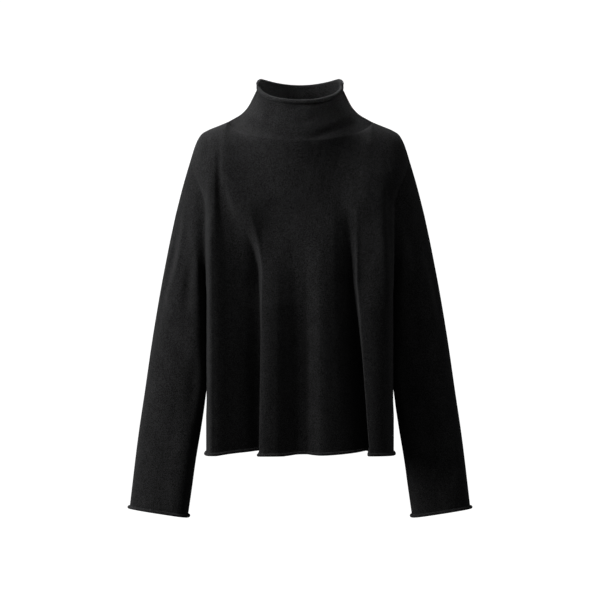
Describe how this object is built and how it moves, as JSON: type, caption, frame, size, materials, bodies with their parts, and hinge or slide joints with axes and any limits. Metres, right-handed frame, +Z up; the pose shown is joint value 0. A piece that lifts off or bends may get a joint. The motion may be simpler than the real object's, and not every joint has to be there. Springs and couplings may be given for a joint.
{
  "type": "sweater",
  "caption": "Long-sleeved knitted sweater with a stand-up funnel neck, dropped shoulders and curled raw edges, hollow and hanging as worn.",
  "frame": {"origin": "middle of the neck at the height where the collar meets the tops of the shoulders, where the wearer's neck and shoulders hold the sweater", "axes": "+Z up, the front faces -Y, the wearer's left is +X"},
  "size_m": [0.5862, 0.2148, 0.746],
  "materials": {
    "knit": "matte, softly brushed fine stocking-stitch knit, black"
  },
  "bodies": {
    "root": {"front": "knit", "back": "knit", "collar": "knit", "sleeve_left": "knit", "sleeve_right": "knit"}
  },
  "joints": []
}
